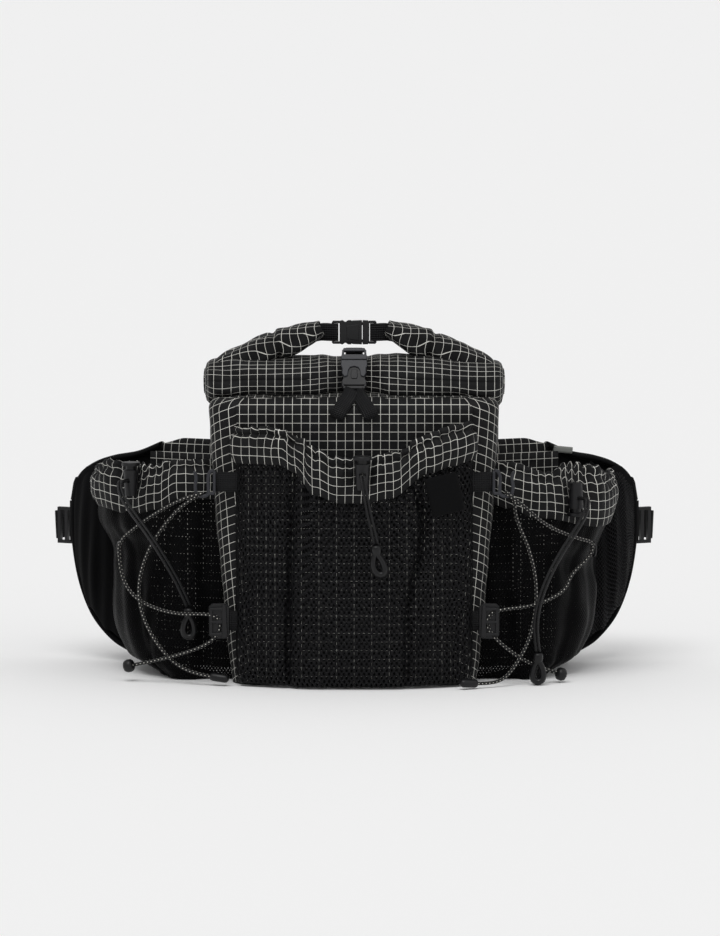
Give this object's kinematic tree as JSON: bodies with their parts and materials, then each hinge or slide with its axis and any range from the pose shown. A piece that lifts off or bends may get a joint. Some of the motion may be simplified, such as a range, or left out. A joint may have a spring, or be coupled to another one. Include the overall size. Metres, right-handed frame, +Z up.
{
  "type": "waist pack",
  "caption": "Roll-top waist pack with a mesh front pocket, two cinched side pockets laced with bungee, padded hip wings and a buckled waist belt.",
  "frame": {"origin": "middle of the flat underside of the base panel, on the surface that the pack stands on", "axes": "+X across the pack to the right as seen from its front, -Y the front of the pack, +Z up"},
  "size_m": [0.5274, 0.3148, 0.3085],
  "materials": {
    "ripstop": "black coated ripstop with a white grid",
    "mesh": "open knitted mesh",
    "padding": "foam under fabric",
    "webbing": "woven",
    "cord": "braided",
    "acetal": "moulded, satin",
    "rubber": "moulded, matt"
  },
  "bodies": {
    "pack": {"base_panel": "ripstop", "front_panel": "ripstop", "back_panel": "ripstop", "side_panel_left": "ripstop", "side_panel_right": "ripstop", "back_pad": "padding", "collar": "ripstop", "roll_top": "ripstop", "roll_end_left": "ripstop", "handle_webbing_left": "webbing", "roll_end_right": "ripstop", "handle_webbing_right": "webbing", "top_buckle_female": "acetal", "closure_strap": "webbing", "closure_buckle_female": "acetal", "closure_webbing": "webbing", "pocket_mesh": "mesh", "pocket_rim": "ripstop", "pocket_drawcord": "cord", "side_drawcord_left": "cord", "side_drawcord_right": "cord", "pocket_cord_pull": "rubber", "side_cord_pull_left": "rubber", "side_cord_pull_right": "rubber", "side_pocket_left": "mesh", "side_rim_left": "ripstop", "wing_left": "padding", "belt_webbing_left": "webbing", "side_pocket_right": "mesh", "side_rim_right": "ripstop", "wing_right": "padding", "belt_webbing_right": "webbing", "wing_pockets": "mesh", "tip_locks": "acetal", "belt_buckle_female": "acetal", "hook_webbing": "webbing", "gear_hooks": "acetal", "ladder_blocks": "acetal", "label_and_tab": "webbing", "keeper_loops": "cord", "bungee_right": "cord", "bungee_left": "cord", "bungee_ends_right": "rubber", "bungee_ends_left": "rubber"},
    "top_male_half": {"top_buckle_male": "acetal"},
    "top_prong_upper_arm": {"top_prong_upper": "acetal"},
    "top_prong_lower_arm": {"top_prong_lower": "acetal"},
    "closure_male_half": {"closure_buckle_male": "acetal"},
    "closure_prong_right_arm": {"closure_prong_right": "acetal"},
    "closure_prong_left_arm": {"closure_prong_left": "acetal"},
    "belt_male_half": {"belt_buckle_male": "acetal"},
    "belt_prong_upper_arm": {"belt_prong_upper": "acetal"},
    "belt_prong_lower_arm": {"belt_prong_lower": "acetal"},
    "pocket_lock": {"pocket_lock_body": "acetal"},
    "pocket_lock_plunger": {"pocket_lock_button": "acetal"},
    "side_left_lock": {"side_left_lock_body": "acetal"},
    "side_left_lock_plunger": {"side_left_lock_button": "acetal"},
    "side_right_lock": {"side_right_lock_body": "acetal"},
    "side_right_lock_plunger": {"side_right_lock_button": "acetal"}
  },
  "joints": [
    {"name": "top_buckle_slide", "type": "slide", "parent": "pack", "child": "top_male_half", "axis": [1, 0, 0], "range_m": [0, 0.016], "deforming": ["handle_webbing_right", "top_prong_upper", "top_prong_lower"]},
    {"name": "top_prong_upper_squeeze", "type": "hinge", "parent": "top_male_half", "child": "top_prong_upper_arm", "pos_m": [0.00827, 0, 0.3055], "axis": [0, -1, 0], "range_deg": [0, 10], "stiffness_Nm_per_rad": 0.02},
    {"name": "top_prong_lower_squeeze", "type": "hinge", "parent": "top_male_half", "child": "top_prong_lower_arm", "pos_m": [0.00827, 0, 0.2905], "axis": [0, 1, 0], "range_deg": [0, 10], "stiffness_Nm_per_rad": 0.02},
    {"name": "closure_buckle_slide", "type": "slide", "parent": "pack", "child": "closure_male_half", "axis": [0, 0.4695, 0.8829], "range_m": [0, 0.016], "deforming": ["closure_strap", "closure_prong_right", "closure_prong_left"]},
    {"name": "closure_prong_right_squeeze", "type": "hinge", "parent": "closure_male_half", "child": "closure_prong_right_arm", "pos_m": [0.0075, -0.02616, 0.27609], "axis": [0, 0.8829, -0.4695], "range_deg": [0, 10], "stiffness_Nm_per_rad": 0.02},
    {"name": "closure_prong_left_squeeze", "type": "hinge", "parent": "closure_male_half", "child": "closure_prong_left_arm", "pos_m": [-0.0075, -0.02616, 0.27609], "axis": [0, -0.8829, 0.4695], "range_deg": [0, 10], "stiffness_Nm_per_rad": 0.02},
    {"name": "belt_buckle_slide", "type": "slide", "parent": "pack", "child": "belt_male_half", "axis": [1, 0, 0], "range_m": [0, 0.026], "deforming": ["belt_webbing_right", "belt_prong_upper", "belt_prong_lower"]},
    {"name": "belt_prong_upper_squeeze", "type": "hinge", "parent": "belt_male_half", "child": "belt_prong_upper_arm", "pos_m": [0.01303, 0.196, 0.1305], "axis": [0, -1, 0], "range_deg": [0, 10], "stiffness_Nm_per_rad": 0.02},
    {"name": "belt_prong_lower_squeeze", "type": "hinge", "parent": "belt_male_half", "child": "belt_prong_lower_arm", "pos_m": [0.01303, 0.196, 0.1055], "axis": [0, 1, 0], "range_deg": [0, 10], "stiffness_Nm_per_rad": 0.02},
    {"name": "pocket_lock_slide", "type": "slide", "parent": "pack", "child": "pocket_lock", "axis": [0, -1, 0], "range_m": [0, 0.004]},
    {"name": "pocket_lock_press", "type": "slide", "parent": "pocket_lock", "child": "pocket_lock_plunger", "axis": [0, 0, -1], "range_m": [0, 0.003], "stiffness_N_per_m": 200, "springref_m": -0.002},
    {"name": "side_left_lock_slide", "type": "slide", "parent": "pack", "child": "side_left_lock", "axis": [-0.6122, -0.7907, 0], "range_m": [0, 0.004]},
    {"name": "side_left_lock_press", "type": "slide", "parent": "side_left_lock", "child": "side_left_lock_plunger", "axis": [0, 0, -1], "range_m": [0, 0.003], "stiffness_N_per_m": 200, "springref_m": -0.002},
    {"name": "side_right_lock_slide", "type": "slide", "parent": "pack", "child": "side_right_lock", "axis": [0.6122, -0.7907, 0], "range_m": [0, 0.004]},
    {"name": "side_right_lock_press", "type": "slide", "parent": "side_right_lock", "child": "side_right_lock_plunger", "axis": [0, 0, 1], "range_m": [0, 0.003], "stiffness_N_per_m": 200, "springref_m": -0.002}
  ],
  "couplings": [
    {"joint": "top_prong_lower_squeeze", "follows": "top_prong_upper_squeeze", "ratio": 1},
    {"joint": "closure_prong_left_squeeze", "follows": "closure_prong_right_squeeze", "ratio": 1},
    {"joint": "belt_prong_lower_squeeze", "follows": "belt_prong_upper_squeeze", "ratio": 1}
  ]
}
